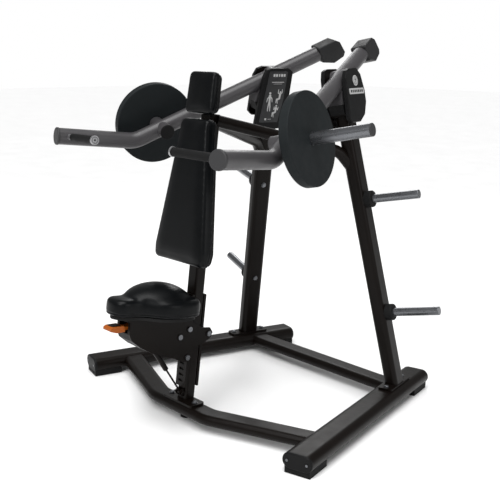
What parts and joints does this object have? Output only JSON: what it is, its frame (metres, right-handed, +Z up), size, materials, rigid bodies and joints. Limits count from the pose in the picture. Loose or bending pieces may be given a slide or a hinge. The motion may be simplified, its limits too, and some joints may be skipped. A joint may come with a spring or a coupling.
{
  "type": "shoulder press machine",
  "caption": "Plate-loaded seated shoulder press machine with independent swinging arms, an adjustable seat, a leaning back rest, weight horns and storage horns.",
  "frame": {"origin": "floor level under the middle of the machine, on the mirror plane", "axes": "+Z up, the user sits facing -Y, +X is the user's left side"},
  "size_m": [1.5044, 1.4259, 1.58],
  "materials": {
    "frame_paint": "satin",
    "arm_paint": "satin",
    "weight_grey": "satin",
    "vinyl": "satin",
    "board": "matte",
    "bright_steel": "polished",
    "plain_steel": "satin",
    "disc_rubber": "matte",
    "black_rubber": "matte",
    "black_plastic": "matte",
    "cap_grey": "satin",
    "placard_print": "gloss",
    "badge_silver": "gloss",
    "lever_orange": "satin",
    "roller_nylon": "matte"
  },
  "bodies": {
    "frame": {"arm_bumpers": "black_rubber", "back_pad": "vinyl", "base_plates": "frame_paint", "brace_left": "frame_paint", "brace_right": "frame_paint", "cover_badges": "badge_silver", "foot_end_caps": "black_plastic", "foot_left": "frame_paint", "foot_pads": "black_rubber", "foot_right": "frame_paint", "frame_bolts": "bright_steel", "front_bow": "frame_paint", "head_pad": "vinyl", "inner_covers": "black_plastic", "outer_covers": "black_plastic", "pad_boards": "board", "pad_brackets": "frame_paint", "pivot_shafts": "plain_steel", "placard": "placard_print", "rear_cross_tube": "frame_paint", "seat_post": "frame_paint", "seat_rails": "frame_paint", "storage_horns": "bright_steel", "storage_stops": "black_rubber", "strut_bracket": "frame_paint", "upright_left": "frame_paint", "upright_right": "frame_paint", "yoke_left": "frame_paint", "yoke_right": "frame_paint"},
    "arm_left_body": {"arm_left": "arm_paint", "pivot_bearings_left": "plain_steel", "tail_weight_left": "weight_grey", "arm_caps_left": "cap_grey", "stub_cap_left": "black_rubber", "grip_bar_left": "plain_steel", "grip_sleeve_left": "black_rubber", "stop_disc_left": "disc_rubber", "loading_horn_left": "bright_steel"},
    "arm_right_body": {"arm_right": "arm_paint", "pivot_bearings_right": "plain_steel", "tail_weight_right": "weight_grey", "arm_caps_right": "cap_grey", "stub_cap_right": "black_rubber", "grip_bar_right": "plain_steel", "grip_sleeve_right": "black_rubber", "stop_disc_right": "disc_rubber", "loading_horn_right": "bright_steel"},
    "carriage": {"carriage_frame": "frame_paint", "carriage_cover": "black_plastic", "carriage_axles": "bright_steel", "seat_board": "board", "seat_pad": "vinyl"},
    "roller_low_body": {"roller_low": "roller_nylon"},
    "roller_high_body": {"roller_high": "roller_nylon"},
    "roller_rear_body": {"roller_rear": "roller_nylon"},
    "lock_pin_body": {"lock_pin": "plain_steel"},
    "release_lever_body": {"release_lever": "lever_orange"},
    "strut_rod_body": {"strut_rod": "frame_paint"},
    "strut_cylinder_body": {"strut_cylinder": "frame_paint"}
  },
  "joints": [
    {"name": "arm_left_swing", "type": "hinge", "parent": "frame", "child": "arm_left_body", "pos_m": [0.2089, 0.3512, 1.4096], "axis": [-0.9459, -0.2623, -0.1908], "range_deg": [0, 40]},
    {"name": "arm_right_swing", "type": "hinge", "parent": "frame", "child": "arm_right_body", "pos_m": [-0.2089, 0.3512, 1.4096], "axis": [-0.9459, 0.2623, 0.1908], "range_deg": [0, 40]},
    {"name": "seat_height", "type": "slide", "parent": "frame", "child": "carriage", "axis": [0, 0.1201, 0.9928], "range_m": [-0.08, 0.06]},
    {"name": "roller_low_spin", "type": "hinge", "parent": "carriage", "child": "roller_low_body", "pos_m": [0, -0.35862, 0.27947], "axis": [1, 0, 0], "range_deg": [-300, 400]},
    {"name": "roller_high_spin", "type": "hinge", "parent": "carriage", "child": "roller_high_body", "pos_m": [0, -0.3442, 0.3986], "axis": [1, 0, 0], "range_deg": [-300, 400]},
    {"name": "roller_rear_spin", "type": "hinge", "parent": "carriage", "child": "roller_rear_body", "pos_m": [0, -0.2436, 0.35923], "axis": [1, 0, 0], "range_deg": [-270, 210]},
    {"name": "release_lever_swing", "type": "hinge", "parent": "carriage", "child": "release_lever_body", "pos_m": [0, -0.60807, 0.45471], "axis": [-1, 0, 0], "range_deg": [0, 12], "stiffness_Nm_per_rad": 2, "springref_deg": -28.65},
    {"name": "lock_pin_slide", "type": "slide", "parent": "carriage", "child": "lock_pin_body", "axis": [0, -0.9928, 0.1201], "range_m": [0, 0.011]},
    {"name": "strut_swing", "type": "hinge", "parent": "frame", "child": "strut_rod_body", "pos_m": [0, -0.36277, 0.1178], "axis": [-1, 0, 0], "range_deg": [-9, 7]},
    {"name": "strut_stroke", "type": "slide", "parent": "strut_rod_body", "child": "strut_cylinder_body", "axis": [0, -0.527, 0.8499], "range_m": [-0.062, 0.047]}
  ],
  "couplings": [
    {"joint": "roller_low_spin", "follows": "seat_height", "rad_per_m": -83.333},
    {"joint": "roller_high_spin", "follows": "seat_height", "rad_per_m": -83.333},
    {"joint": "roller_rear_spin", "follows": "seat_height", "rad_per_m": 55.556},
    {"joint": "lock_pin_slide", "follows": "release_lever_swing", "m_per_rad": 0.0477},
    {"joint": "strut_swing", "follows": "seat_height", "rad_per_m": 1.885},
    {"joint": "strut_stroke", "follows": "seat_height", "ratio": 0.76}
  ]
}
